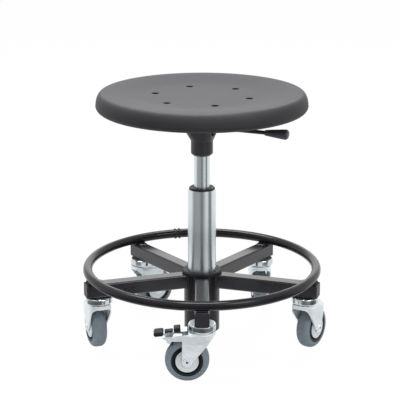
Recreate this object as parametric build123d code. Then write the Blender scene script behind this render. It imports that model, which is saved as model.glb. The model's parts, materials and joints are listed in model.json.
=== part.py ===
from build123d import *
import os
from math import acos, atan2, cos, degrees, hypot, radians, sin, tan

# Rolling stool: a five-arm steel base on swivel casters, a foot ring welded over the arms,
# a gas-lift column and a round moulded seat with a release lever.
# Millimetres. The origin is on the floor under the column, +Z is up, and the front arm lies along -Y.

# Clearances
RUN_CLEAR = 0.05        # radial, a shaft in its bearing
PUSH_CLEAR = 0.05       # radial, pieces pushed or welded together
MOVE_GAP = 0.3          # between faces that turn or slide past each other

# Wheels
WHEEL_D = 75.0
TYRE_W = 25.0
TYRE_T = 10.5
TYRE_SHOULDER = 9.0
RIM_INSET = 1.0         # how far the rim's side lies inside the tyre's side
RIM_T = 4.5
WEB_T = 9.0
WHEEL_HUB_WALL = 4.5
WHEEL_HUB_W = 24.0
COVER_D = 39.0
COVER_T = 1.5
COVER_DISH = 1.0
AXLE_D = 12.0
AXLE_NECK_D = 9.6
AXLE_BORE_D = 4.4
AXLE_HEAD_D = 12.8
AXLE_HEAD_T = 1.4
BUSH_WALL = 2.0
COVER_AXLE_GAP = 0.6

# Caster forks and swivel heads
CASTER_TRAIL = 25.0
FORK_SIDE_GAP = 1.0     # from the wheel's cover to the fork leg
FORK_PLATE = 2.5
FORK_BEND = 8.0
LEG_END_R = 8.3
CROWN_GAP = 12.5        # from the tyre's top to the crown
CROWN_R = 23.0
CROWN_CORNER = 17.0
LEG_TOP_DROP = 7.0      # from the crown's top to where the leg's front edge starts
LEG_NOSE = 3.0          # how far behind the crown's front that edge starts
LEG_BACK_CUT = 5.0      # the corner cut off the leg's upper back, along the plate
LEG_BACK_DROP = 10.0    # and down from its top
LEG_STEP = 2.5          # how far each leg stands in from the crown's side
LEG_STEP_LOW = 45.0     # heights between which the leg steps in
LEG_STEP_HIGH = 70.0
LIP_DROP = 5.0          # how far the crown's front edge is turned down
LIP_BEND = 9.0
TRACK_R = 15.5
TRACK_HALF_W = 4.2
TRACK_PAD_H = 1.0
TRACK_GAP = 2.4
BALL_D = 5.0
BALL_CLEAR = 0.1
BALL_COUNT = 14
HEAD_D = 46.5
HEAD_SKIRT = 2.6
HEAD_SKIRT_GAP = 0.4    # from the skirt's rim to the fork crown
HEAD_TRACK_T = 5.6
HEAD_PLATE = 3.0
HEAD_EDGE = 2.4
KING_PIN_D = 13.0
KING_FLANGE_D = 22.0
KING_FLANGE_T = 3.2
BOLT_D = 8.0
BOLT_HEAD_D = 17.0
BOLT_HEAD_H = 3.2
BOLT_HEAD_EDGE = 2.2
BOLT_SOCKET_AF = 5.0
BOLT_SOCKET_DEPTH = 2.0
BOLT_HOLE_CLEAR = 0.25

# Base
ARM_COUNT = 5
ARM_SIZE = 25.0
ARM_WALL = 2.0
ARM_CORNER = 3.0
ARM_IN_CORNER = 1.0
FRONT_ARM_ANGLE = 270.0
RING_R = 203.5
RING_TUBE_D = 16.6
RING_WALL = 2.0
RING_LIFT = 1.2         # from the arm's top to the ring tube's lowest line
STEM_INSET = 13.5       # caster stem inside the ring's centreline
ARM_PAST_RING = 10.5    # arm's end outside the ring's centreline
SADDLE_LENGTH = 10.0
SADDLE_W = 20.0
SADDLE_WRAP = 3.0       # how far the saddle climbs the ring tube
CAP_T = 3.0
CAP_PLUG = 10.0
CAP_EDGE = 0.8
HUB_FLOOR_CLEAR = 21.0
HUB_WALL = 3.0
HUB_FLOOR_T = 4.0
HUB_FLOOR_HOLE_D = 24.0
COLLAR_WALL = 3.75
COLLAR_LIP = 3.75
COLLAR_T = 5.2
COLLAR_EDGE = 2.0
COLLAR_DEPTH = 60.0

# Column and gas lift
COLUMN_D = 50.0
COLUMN_WALL = 1.8
COLUMN_LENGTH = 256.5
COLUMN_FOOT_T = 4.0
BUSH_LENGTH = 70.0
BUSH_FLANGE_T = 3.0
BUSH_FLANGE_INSET = 1.6
BUSH_EDGE = 2.2
BUSH_NOTCH_COUNT = 12
BUSH_NOTCH_W = 3.0
BUSH_NOTCH_DEPTH = 1.4
BUSH_NOTCH_LENGTH = 5.0 # from the bore out
ROD_D = 10.0
ROD_GROOVE_D = 8.0
ROD_END = 3.2           # how far the rod reaches below the column's foot
CLIP_D = 16.0
CLIP_T = 1.6
BEARING_D = 26.0
BEARING_WASHER_T = 1.4
BEARING_BALL_D = 3.2
BEARING_BALL_COUNT = 12
BEARING_BALL_CLEAR = 0.02
ROD_COLLAR_D = 22.0
ROD_COLLAR_T = 3.0
BUFFER_D = 22.0
BUFFER_H = 9.0
LIFT_DOWN = 50.0
LIFT_UP = 80.0
LIFT_SPARE = 1.5
CYL_D = 28.0
CYL_WALL = 2.2
CYL_LIP = 1.2
CYL_TAPER_DEG = 1.4377
GLAND_H = 17.0
PISTON_H = 10.0
ROD_NECK_D = 8.0
VALVE_BLOCK = 42.0
BUTTON_D = 8.0
BUTTON_STAND = 3.6
BUTTON_LENGTH = 30.0
BUTTON_EDGE = 1.5

# Seat carrier and lever
SEAT_YAW = -15.0
SLEEVE_D = 38.5
SLEEVE_H = 25.7
SLEEVE_CHAMFER = 3.4
SLEEVE_CLEAR = 0.3
HOUSING_H = 50.0
HOUSING_LOW_FLAT = 0.4  # straight bit left on each side where the housing is nearly round
HOUSING_TOP = 84.0
HOUSING_TOP_CORNER = 20.0
HOUSING_WALL = 2.5
HOUSING_FLOOR = 4.0
SOCKET_WALL = 4.0
SOCKET_DEPTH = 17.0
WINDOW_W = 44.0
PLATE_SIZE = 140.0
PLATE_CORNER = 14.0
PLATE_T = 3.0
SCREW_SPACING = 104.0
SCREW_D = 6.0
SCREW_HEAD_D = 12.0
SCREW_HEAD_H = 4.0
SCREW_HEAD_EDGE = 1.8
SCREW_HOLE_CLEAR = 0.2
TEE_BARREL_D = 9.0
TEE_FLANGE_D = 18.0
TEE_FLANGE_T = 1.2
LEVER_D = 7.0
LEVER_DROOP_DEG = 2.0
LEVER_PIVOT_X = 18.0
LEVER_PIN_D = 3.5
LEVER_TAIL = 4.0        # how far the rod reaches past the button's axis
LEVER_GAP = 0.35        # from the rod to the button
LUG_T = 3.0
LUG_GAP = 0.6           # from the rod's side to the lug
LUG_HALF_W = 5.5
KNOB_START = 112.5      # distances from the column's axis
KNOB_END = 153.5
KNOB_WAIST = 18.0       # where the knob is halfway from neck to full size, from its start
KNOB_NECK_H = 9.6
KNOB_NECK_W = 13.0
KNOB_H = 18.5
KNOB_W = 25.0
KNOB_EDGE = 5.0
KNOB_BORE_DEPTH = 26.0

# Seat
SEAT_HEIGHT = 447.8     # from the floor to the flat of the seat, with the lift at its rest place
SEAT_D = 368.0
PAD_T = 26.5
DISH_FLAT_R = 95.0
DISH_DEPTH = 6.8
CREST_INSET = 11.0
WAIST_H = 11.0          # the widest line, above the underside
UNDER_INSET = 16.0
BOARD_D = 250.0
BOARD_T = 10.0
BOARD_CLEAR = 0.2
VENT_D = 11.0
VENT_R = 84.0
VENT_COUNT = 6
VENT_EDGE = 1.2
VENT_FLOOR = 2.0        # foam left between a vent and the board

# Brake on the front caster
HORN_REACH = 66.0       # from the caster's stem to the cheek's tip
HORN_ROOT_DROP = 3.7
HORN_TIP_DROP = 8.6
HORN_LOW_DROP = 14.2
HORN_LOBE_R = 3.7
PEDAL_PIN_INSET = 11.0  # from the cheek's tip
PEDAL_PIN_DROP = 14.5
PEDAL_PIN_D = 4.0
PEDAL_PIN_HEAD_D = 6.0
PEDAL_PIN_HEAD_T = 1.2
PEDAL_W = 21.0
PEDAL_GAP = 3.0
PEDAL_T = 2.2
PEDAL_HEAD_GAP = 1.75   # from the swivel head to the pedal's inner end
PEDAL_EAR_T = 2.4
PEDAL_EAR_R = 3.7
PEDAL_EAR_ROOT_W = 16.0
SHOE_W = 3.6
SHOE_GAP = 0.3          # from shoe to tyre when locked
PEDAL_SWING_DEG = 12.0
TREAD_PAD_INSET = 2.0   # from the cheek's tip to the pad's inner end
TREAD_PAD_LENGTH = 17.0
TREAD_PAD_H = 8.0
TREAD_PAD_W = 22.0
TREAD_PAD_EDGE = 3.8
TREAD_PAD_SIDE_EDGE = 2.0
RELEASE_PAD_INSET = 30.0
RELEASE_PAD_LENGTH = 11.0
RELEASE_PAD_H = 6.5
RELEASE_PAD_W = 18.0
RELEASE_PAD_EDGE = 2.0
STEP_PAD_GAP = 1.5      # from the low pad's ends to the pads beside it
STEP_PAD_H = 1.8
STEP_PAD_W = 12.0
STEP_PAD_EDGE = 0.7
PAD_RIB_COUNT = 3
PAD_RIB_W = 1.2
PAD_RIB_DEPTH = 0.8

# Casters, one to each arm from the front arm round, and the way each wheel lies from its stem
CASTER_NAMES = ["front", "right", "back_right", "back_left", "left"]
TRAIL_ANGLES = [180.0, 56.0, 95.0, 35.0, 109.5]
QUARTER_ANGLE = 90.0

# Heights and radii that follow from the sizes
wheel_r = WHEEL_D / 2
tyre_in_r = wheel_r - TYRE_T
leg_in = WHEEL_HUB_W + 2 * COVER_T + 2 * FORK_SIDE_GAP
leg_out = leg_in + 2 * FORK_PLATE
crown_in = leg_in + 2 * LEG_STEP
crown_out = crown_in + 2 * FORK_PLATE
crown_low = WHEEL_D + CROWN_GAP
crown_top = crown_low + FORK_PLATE
track_low = crown_top + TRACK_PAD_H
track_high = track_low + TRACK_GAP
ball_z = (track_low + track_high) / 2
head_plate_low = track_high + HEAD_TRACK_T
arm_low = head_plate_low + HEAD_PLATE
arm_top = arm_low + ARM_SIZE
arm_mid = arm_low + ARM_SIZE / 2
stem_r = RING_R - STEM_INSET
arm_end = RING_R + ARM_PAST_RING
tube_end = arm_end - CAP_T
arm_in_size = ARM_SIZE - 2 * ARM_WALL
ring_z = arm_top + RING_LIFT + RING_TUBE_D / 2
column_r = COLUMN_D / 2
hub_in_r = column_r + COLLAR_WALL
hub_r = hub_in_r + HUB_WALL
hub_low = HUB_FLOOR_CLEAR
column_low = hub_low + HUB_FLOOR_T
column_top = column_low + COLUMN_LENGTH
column_in_r = column_r - COLUMN_WALL
bush_top = column_top + BUSH_FLANGE_T
bearing_low = column_low + COLUMN_FOOT_T
bearing_ball_z = bearing_low + BEARING_WASHER_T + BEARING_BALL_CLEAR + BEARING_BALL_D / 2
bearing_top = bearing_ball_z + BEARING_BALL_D / 2 + BEARING_BALL_CLEAR + BEARING_WASHER_T
rod_collar_low = bearing_top + MOVE_GAP
buffer_low = rod_collar_low + ROD_COLLAR_T
cyl_low = buffer_low + BUFFER_H + LIFT_DOWN + LIFT_SPARE
gland_low = cyl_low + CYL_LIP
gland_top = gland_low + GLAND_H
piston_low = gland_top + LIFT_UP + LIFT_SPARE
piston_top = piston_low + PISTON_H
dish_z = SEAT_HEIGHT
crest_z = dish_z + DISH_DEPTH
pad_low = dish_z - PAD_T
board_top = pad_low + BOARD_T
plate_low = pad_low - PLATE_T
housing_low = plate_low - HOUSING_H
sleeve_low = housing_low - SLEEVE_H
cyl_top = housing_low + SOCKET_DEPTH
button_top = cyl_top + BUTTON_STAND
lever_pivot_z = button_top + LEVER_GAP + LEVER_D / 2 - LEVER_PIVOT_X * tan(radians(LEVER_DROOP_DEG))
cyl_r = CYL_D / 2
cyl_in_r = cyl_r - CYL_WALL
taper_low = sleeve_low
pedal_pin_x = HORN_REACH - PEDAL_PIN_INSET
pedal_pin_z = crown_top - PEDAL_PIN_DROP
pedal_start = HEAD_D / 2 + PEDAL_HEAD_GAP
tread_pad_mid = HORN_REACH - TREAD_PAD_INSET + TREAD_PAD_LENGTH / 2
release_pad_mid = HORN_REACH - RELEASE_PAD_INSET + RELEASE_PAD_LENGTH / 2
taper = tan(radians(CYL_TAPER_DEG))
STAND = (Align.CENTER, Align.CENTER, Align.MIN)


def drum(radius, low, high):
    """An upright cylinder between two heights."""
    return Pos(0, 0, low) * Cylinder(radius, high - low, align=STAND)


def ring(outer, inner, low, high):
    """An upright ring between two heights."""
    return drum(outer, low, high) - drum(inner, low, high)


def turned(points, axis=Axis.Z):
    """A solid of revolution about Z from (radius, height) points, or about Y from (radius, along)."""
    if axis == Axis.Z:
        corners = [(r, 0, h) for r, h in points]
    else:
        corners = [(r, h, 0) for r, h in points]
    return revolve(make_face(Polyline(corners, close=True)), axis)


def across(radius, half_width):
    """A round bar along Y, centred on the origin."""
    return Rot(90, 0, 0) * Cylinder(radius, 2 * half_width)


def slab(outline, half_width):
    """A plate cut to an outline in the XZ plane, centred across Y."""
    return extrude(outline, half_width, dir=(0, 1, 0), both=True)


def outline(points):
    """A flat face in the XZ plane."""
    return make_face(Polyline([(x, 0, z) for x, z in points], close=True))


def arm_place(number, radius=0.0):
    """The place of something on an arm: X runs outwards along the arm."""
    return Rot(0, 0, FRONT_ARM_ANGLE + number * 360 / ARM_COUNT) * Pos(radius, 0, 0)


def caster_place(number, trail_angle):
    """The place of a caster: X runs from the stem towards the wheel."""
    angle = radians(FRONT_ARM_ANGLE + number * 360 / ARM_COUNT)
    return Pos(stem_r * cos(angle), stem_r * sin(angle), 0) * Rot(0, 0, trail_angle)


def on_arms(piece):
    """One copy of a piece for each arm."""
    return [arm_place(n) * piece for n in range(ARM_COUNT)]


def on_stems(piece):
    """One copy of a piece for each caster stem."""
    return [arm_place(n, stem_r) * piece for n in range(ARM_COUNT)]


def circle_of(piece, radius, count, start=0.0):
    """Copies of a piece spaced evenly on a circle."""
    return [Rot(0, 0, start + k * 360 / count) * Pos(radius, 0, 0) * piece for k in range(count)]


def group(pieces):
    """Separate solids that share one node."""
    return Compound([solid for piece in pieces for solid in piece.solids()])


def square_bar(size, corner, start, length, height):
    """A bar of rounded square section that runs along X."""
    section = Plane(origin=(start, 0, height), x_dir=(0, 1, 0), z_dir=(1, 0, 0))
    return extrude(section * RectangleRounded(size, size, corner), length)


# Base

def base_arm():
    tube = square_bar(ARM_SIZE, ARM_CORNER, 0, tube_end, arm_mid)
    tube -= square_bar(arm_in_size, ARM_IN_CORNER, 0, tube_end, arm_mid)
    tube -= drum(hub_r + PUSH_CLEAR, arm_low - ARM_SIZE, arm_top + ARM_SIZE)
    bolt_hole = drum(BOLT_D / 2 + BOLT_HOLE_CLEAR, arm_low, arm_top)
    return tube - Pos(stem_r, 0, 0) * bolt_hole


def arm_cap():
    head = square_bar(ARM_SIZE, ARM_CORNER, tube_end, CAP_T, arm_mid)
    head = fillet(head.faces().sort_by(Axis.X)[-1].edges(), CAP_EDGE)
    plug_size = arm_in_size - 2 * PUSH_CLEAR
    return head + square_bar(plug_size, ARM_IN_CORNER, tube_end - CAP_PLUG, CAP_PLUG, arm_mid)


def foot_ring():
    tube = Torus(RING_R, RING_TUBE_D / 2) - Torus(RING_R, RING_TUBE_D / 2 - RING_WALL)
    return Pos(0, 0, ring_z) * tube


def ring_saddle():
    height = RING_LIFT + SADDLE_WRAP
    block = Pos(RING_R, 0, arm_top) * Box(SADDLE_LENGTH, SADDLE_W, height, align=STAND)
    return block - Pos(0, 0, ring_z) * Torus(RING_R, RING_TUBE_D / 2 + PUSH_CLEAR)


def hub_collar():
    outer = hub_r + COLLAR_LIP
    inner = column_r + PUSH_CLEAR
    sleeve_r = hub_in_r - PUSH_CLEAR
    seat = arm_top + PUSH_CLEAR
    top = seat + COLLAR_T
    return turned([
        (inner, seat - COLLAR_DEPTH), (sleeve_r, seat - COLLAR_DEPTH), (sleeve_r, seat),
        (outer, seat), (outer, top - COLLAR_EDGE), (outer - COLLAR_EDGE, top), (inner, top)])


# Column and gas lift

def guide_bush():
    sleeve_r = column_in_r - PUSH_CLEAR
    flange_r = column_r - BUSH_FLANGE_INSET
    bore = cyl_r + RUN_CLEAR
    bush = turned([
        (bore, column_top - BUSH_LENGTH), (sleeve_r, column_top - BUSH_LENGTH),
        (sleeve_r, column_top), (flange_r, column_top), (flange_r, bush_top - BUSH_EDGE),
        (flange_r - BUSH_EDGE, bush_top), (bore, bush_top)])
    notch = Pos(0, 0, bush_top - BUSH_NOTCH_DEPTH) * Box(
        2 * BUSH_NOTCH_LENGTH, BUSH_NOTCH_W, BUSH_NOTCH_DEPTH, align=STAND)
    return bush - circle_of(notch, bore, BUSH_NOTCH_COUNT)


def thrust_bearing():
    bore = ROD_D / 2 + MOVE_GAP
    low_washer = ring(BEARING_D / 2, bore, bearing_low, bearing_low + BEARING_WASHER_T)
    high_washer = ring(BEARING_D / 2, bore, bearing_top - BEARING_WASHER_T, bearing_top)
    track = (BEARING_D / 2 + bore) / 2
    ball = Pos(0, 0, bearing_ball_z) * Sphere(BEARING_BALL_D / 2)
    return group([low_washer, high_washer, *circle_of(ball, track, BEARING_BALL_COUNT)])


def clip_low():
    return column_low - MOVE_GAP - CLIP_T


def piston_rod():
    r = ROD_D / 2
    groove_low = clip_low() - PUSH_CLEAR
    groove_high = column_low - MOVE_GAP + PUSH_CLEAR
    return turned([
        (0, column_low - ROD_END), (r, column_low - ROD_END), (r, groove_low),
        (ROD_GROOVE_D / 2, groove_low), (ROD_GROOVE_D / 2, groove_high), (r, groove_high),
        (r, rod_collar_low), (ROD_COLLAR_D / 2, rod_collar_low), (ROD_COLLAR_D / 2, buffer_low),
        (r, buffer_low), (r, piston_low), (ROD_NECK_D / 2, piston_low),
        (ROD_NECK_D / 2, piston_top + LIFT_SPARE), (0, piston_top + LIFT_SPARE)])


def rod_clip():
    inner = ROD_GROOVE_D / 2 + PUSH_CLEAR
    clip = ring(CLIP_D / 2, inner, clip_low(), column_low - MOVE_GAP)
    mouth = Pos(CLIP_D / 2, 0, clip_low()) * Box(CLIP_D, ROD_GROOVE_D, CLIP_T, align=STAND)
    return clip - mouth


def taper_r(height):
    """Radius of the cylinder's taper at a height."""
    return cyl_r - (height - taper_low) * taper


def gas_cylinder():
    bore = BUTTON_D / 2 + RUN_CLEAR
    chamber_top = cyl_top - VALVE_BLOCK
    lip_r = cyl_in_r - CYL_LIP
    return turned([
        (lip_r, cyl_low), (cyl_r, cyl_low), (cyl_r, taper_low), (taper_r(cyl_top), cyl_top),
        (bore, cyl_top), (bore, chamber_top), (cyl_in_r, chamber_top),
        (cyl_in_r, gland_low), (lip_r, gland_low)])


def release_button():
    button = drum(BUTTON_D / 2, button_top - BUTTON_LENGTH, button_top)
    return fillet(button.edges().sort_by(Axis.Z)[-1], BUTTON_EDGE)


# Seat carrier and lever, with the lever along +X

def cylinder_sleeve():
    bore = cyl_r + SLEEVE_CLEAR
    outer = SLEEVE_D / 2
    return turned([
        (bore, sleeve_low), (outer - SLEEVE_CHAMFER, sleeve_low), (outer, sleeve_low + SLEEVE_CHAMFER),
        (outer, housing_low), (bore, housing_low)])


def housing_form(inset):
    """The flaring body of the seat housing, from nearly round to a rounded square."""
    low_size = SLEEVE_D - 2 * inset
    low_corner = low_size / 2 - HOUSING_LOW_FLAT / 2
    low = Plane.XY.offset(housing_low) * RectangleRounded(low_size, low_size, low_corner)
    high_size = HOUSING_TOP - 2 * inset
    high = Plane.XY.offset(plate_low) * RectangleRounded(high_size, high_size, HOUSING_TOP_CORNER)
    return loft([low, high], ruled=True)


def seat_housing():
    hollow = housing_form(HOUSING_WALL) - drum(HOUSING_TOP, housing_low, housing_low + HOUSING_FLOOR)
    post = drum(taper_r(housing_low) + SOCKET_WALL, housing_low, cyl_top)
    lug_low = cyl_top - LEVER_D
    lug_high = lever_pivot_z + LUG_HALF_W
    lug_y = LEVER_D / 2 + LUG_GAP + LUG_T / 2
    lug = Box(2 * LUG_HALF_W, LUG_T, lug_high - lug_low, align=STAND)
    lugs = [Pos(LEVER_PIVOT_X, side * lug_y, lug_low) * lug for side in (-1, 1)]
    window_box = Box(HOUSING_TOP / 2, WINDOW_W, HOUSING_H, align=STAND)
    window = Pos(HOUSING_TOP / 2, 0, housing_low + HOUSING_FLOOR) * window_box
    pin_hole = Pos(LEVER_PIVOT_X, 0, lever_pivot_z) * across(LEVER_PIN_D / 2 + PUSH_CLEAR, HOUSING_TOP)
    bore_low = taper_r(housing_low) + PUSH_CLEAR
    bore_high = taper_r(cyl_top) + PUSH_CLEAR
    bore = Pos(0, 0, housing_low) * Cone(bore_low, bore_high, SOCKET_DEPTH, align=STAND)
    shell = housing_form(0) - hollow - window
    return shell + post + lugs - bore - pin_hole


def lever_pin():
    half = LEVER_D / 2 + LUG_GAP + LUG_T
    return Pos(LEVER_PIVOT_X, 0, lever_pivot_z) * across(LEVER_PIN_D / 2, half)


def lever_place():
    return Pos(LEVER_PIVOT_X, 0, lever_pivot_z) * Rot(0, LEVER_DROOP_DEG, 0)


def lever_bar(radius, start, end):
    """A round bar on the lever's line, between two distances from the pivot."""
    return Pos(start, 0, 0) * Rot(0, 90, 0) * Cylinder(radius, end - start, align=STAND)


def lever_rod():
    tail = -(LEVER_PIVOT_X + LEVER_TAIL)
    tip = KNOB_START - LEVER_PIVOT_X + KNOB_BORE_DEPTH
    rod = lever_bar(LEVER_D / 2, tail, tip)
    rod -= across(LEVER_PIN_D / 2 + RUN_CLEAR, LEVER_D)
    return lever_place() * rod


def lever_knob():
    start = KNOB_START - LEVER_PIVOT_X
    end = KNOB_END - LEVER_PIVOT_X
    sections = [
        (start, KNOB_NECK_W, KNOB_NECK_H),
        (start + KNOB_WAIST, (KNOB_NECK_W + KNOB_W) / 2, (KNOB_NECK_H + KNOB_H) / 2),
        (end, KNOB_W, KNOB_H),
    ]
    faces = []
    for x, width, height in sections:
        plane = Plane(origin=(x, 0, 0), x_dir=(0, 1, 0), z_dir=(1, 0, 0))
        faces.append(plane * Ellipse(width / 2, height / 2))
    knob = loft(faces)
    knob = fillet(knob.edges().sort_by(Axis.X)[-1], KNOB_EDGE)
    knob -= lever_bar(LEVER_D / 2, start, start + KNOB_BORE_DEPTH)
    return lever_place() * knob


def screw_places():
    half = SCREW_SPACING / 2
    return [Pos(x, y, 0) for x in (-half, half) for y in (-half, half)]


def seat_plate():
    square = RectangleRounded(PLATE_SIZE, PLATE_SIZE, PLATE_CORNER)
    plate = extrude(Plane.XY.offset(plate_low) * square, PLATE_T)
    hole = drum(SCREW_D / 2 + SCREW_HOLE_CLEAR, plate_low, pad_low)
    return plate - [place * hole for place in screw_places()]


def seat_screw():
    head = drum(SCREW_HEAD_D / 2, plate_low - SCREW_HEAD_H, plate_low)
    head = fillet(head.edges().sort_by(Axis.Z)[0], SCREW_HEAD_EDGE)
    return head + drum(SCREW_D / 2, plate_low, board_top - TEE_FLANGE_T)


def tee_nut():
    bore = SCREW_D / 2 + PUSH_CLEAR
    barrel = ring(TEE_BARREL_D / 2, bore, pad_low + TEE_FLANGE_T, board_top)
    return barrel + ring(TEE_FLANGE_D / 2, bore, board_top - TEE_FLANGE_T, board_top)


def seat_board():
    board = drum(BOARD_D / 2, pad_low, board_top)
    hole = drum(TEE_BARREL_D / 2 + PUSH_CLEAR, pad_low, board_top)
    hole += drum(TEE_FLANGE_D / 2 + PUSH_CLEAR, board_top - TEE_FLANGE_T, board_top)
    return board - [place * hole for place in screw_places()]


def seat_pad():
    """A dished, crowned cushion: flat floor, raised crest, rounded rim and drawn-in underside."""
    radius = SEAT_D / 2
    crest_r = radius - CREST_INSET
    under_r = radius - UNDER_INSET
    waist_z = pad_low + WAIST_H
    flat = Line((0, 0, dish_z), (DISH_FLAT_R, 0, dish_z))
    rise = Spline(
        [(DISH_FLAT_R, 0, dish_z), (crest_r, 0, crest_z)], tangents=[(1, 0, 0), (1, 0, 0)])
    upper = Plane.XZ * EllipticalCenterArc(
        (crest_r, waist_z), CREST_INSET, crest_z - waist_z, start_angle=0, arc_size=QUARTER_ANGLE)
    lower = Plane.XZ * EllipticalCenterArc(
        (under_r, waist_z), UNDER_INSET, WAIST_H, start_angle=-QUARTER_ANGLE, arc_size=QUARTER_ANGLE)
    base = Polyline([(under_r, 0, pad_low), (0, 0, pad_low), (0, 0, dish_z)])
    pad = revolve(make_face([flat, rise, upper, lower, *base.edges()]), Axis.Z)
    pad -= drum(BOARD_D / 2 + BOARD_CLEAR, pad_low, board_top)
    mouth = Cone(VENT_D / 2, VENT_D / 2 + VENT_EDGE, VENT_EDGE, align=STAND)
    vent = drum(VENT_D / 2, board_top + VENT_FLOOR, dish_z) + Pos(0, 0, dish_z - VENT_EDGE) * mouth
    return pad - circle_of(vent, VENT_R, VENT_COUNT)


# Casters, with the stem on the origin and the wheel towards +X

def wheel_place():
    return Pos(CASTER_TRAIL, 0, wheel_r)


def tyre():
    section = Plane.XY * Pos(tyre_in_r + TYRE_T / 2, 0) * Rectangle(TYRE_T, TYRE_W)
    section = fillet(section.vertices().group_by(Axis.X)[-1], TYRE_SHOULDER)
    return wheel_place() * revolve(section, Axis.Y)


def bush_r():
    return AXLE_D / 2 + RUN_CLEAR + BUSH_WALL


def wheel_hub_r():
    return bush_r() + PUSH_CLEAR + WHEEL_HUB_WALL


def wheel_core():
    rim_r = tyre_in_r - PUSH_CLEAR
    rim_in = rim_r - RIM_T
    rim_y = TYRE_W / 2 - RIM_INSET
    hub_bore = bush_r() + PUSH_CLEAR
    hub_out = wheel_hub_r()
    hub_y = WHEEL_HUB_W / 2
    web_y = WEB_T / 2
    half = [
        (hub_bore, hub_y), (hub_out, hub_y), (hub_out, web_y), (rim_in, web_y), (rim_in, rim_y),
        (rim_r, rim_y)]
    mirrored = [(r, -y) for r, y in reversed(half)]
    return wheel_place() * turned(half + mirrored, Axis.Y)


def wheel_cover(side):
    """A shallow dished disc on the wheel hub's end."""
    near = WHEEL_HUB_W / 2
    bore = AXLE_D / 2 + COVER_AXLE_GAP
    rim = COVER_D / 2
    flat = wheel_hub_r() + PUSH_CLEAR
    points = [
        (bore, near), (flat, near), (rim, near - COVER_DISH), (rim, near - COVER_DISH + COVER_T),
        (flat, near + COVER_T), (bore, near + COVER_T)]
    return turned([(r, side * y) for r, y in points], Axis.Y)


def wheel_bearing():
    bore = AXLE_D / 2 + RUN_CLEAR
    hub_y = WHEEL_HUB_W / 2
    bush = turned([(bore, -hub_y), (bush_r(), -hub_y), (bush_r(), hub_y), (bore, hub_y)], Axis.Y)
    return group([wheel_place() * piece for piece in (bush, wheel_cover(-1), wheel_cover(1))])


def wheel_axle():
    inner_y = leg_in / 2
    outer_y = leg_out / 2
    end_y = outer_y + AXLE_HEAD_T
    bore = AXLE_BORE_D / 2
    half = [
        (AXLE_D / 2, inner_y), (AXLE_NECK_D / 2, inner_y), (AXLE_NECK_D / 2, outer_y),
        (AXLE_HEAD_D / 2, outer_y), (AXLE_HEAD_D / 2 - AXLE_HEAD_T / 2, end_y), (bore, end_y)]
    mirrored = [(r, -y) for r, y in reversed(half)]
    return wheel_place() * turned(half + mirrored, Axis.Y)


def leg_profile():
    """Side view of a fork leg: upright at the back, slanting at the front, round about the axle."""
    back = CASTER_TRAIL + LEG_END_R
    nose = crown_top - LEG_TOP_DROP
    nose_x = LEG_NOSE - CROWN_R
    reach = hypot(nose_x - CASTER_TRAIL, nose - wheel_r)
    touch = atan2(nose - wheel_r, nose_x - CASTER_TRAIL) + acos(LEG_END_R / reach)
    tangent = (CASTER_TRAIL + LEG_END_R * cos(touch), 0, wheel_r + LEG_END_R * sin(touch))
    head = crown_top + FORK_PLATE
    end = ThreePointArc((back, 0, wheel_r), (CASTER_TRAIL, 0, wheel_r - LEG_END_R), tangent)
    rest = Polyline([
        tangent, (nose_x, 0, nose), (-CROWN_R, 0, nose), (-CROWN_R, 0, head), (back - LEG_BACK_CUT, 0, head),
        (back, 0, crown_top - LEG_BACK_DROP), (back, 0, wheel_r)])
    return make_face([end, *rest.edges()])


def horn_top(x):
    """Height of the brake cheek's top edge at a distance from the stem."""
    share = (x - CROWN_R) / (HORN_REACH - CROWN_R)
    return crown_top - HORN_ROOT_DROP - share * (HORN_TIP_DROP - HORN_ROOT_DROP)


def horn_profile():
    """Side view of the cheek that carries the brake pedal behind the wheel's top."""
    low = crown_top - HORN_LOW_DROP
    arm = outline([
        (CASTER_TRAIL, low), (pedal_pin_x, low), (HORN_REACH, horn_top(HORN_REACH)),
        (CROWN_R, horn_top(CROWN_R)), (CASTER_TRAIL - LEG_END_R, horn_top(CROWN_R))])
    lobe = Pos(pedal_pin_x, 0, pedal_pin_z) * Rot(90, 0, 0) * Circle(HORN_LOBE_R)
    return slab(arm, crown_out) + slab(lobe, crown_out)


def channel(width, top, bend, length):
    """A bar along X, as wide as the legs below and as the crown above, with round upper edges."""
    wide = width / 2
    narrow = wide - LEG_STEP
    section = Polyline([
        (-length, -narrow, 0), (-length, -narrow, LEG_STEP_LOW), (-length, -wide, LEG_STEP_HIGH),
        (-length, -wide, top), (-length, wide, top), (-length, wide, LEG_STEP_HIGH),
        (-length, narrow, LEG_STEP_LOW), (-length, narrow, 0)], close=True)
    bar = extrude(make_face(section), 2 * length, dir=(1, 0, 0))
    return fillet(bar.edges().filter_by(Axis.X).group_by(Axis.Z)[-1], bend)


def crown_plan(width, front, corner, length):
    """A tall block behind a front face, with round front corners."""
    block = Pos(front + length / 2, 0, 0) * Box(length, width, 2 * crown_top)
    return fillet(block.edges().filter_by(Axis.Z).group_by(Axis.X)[0], corner)


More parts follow.
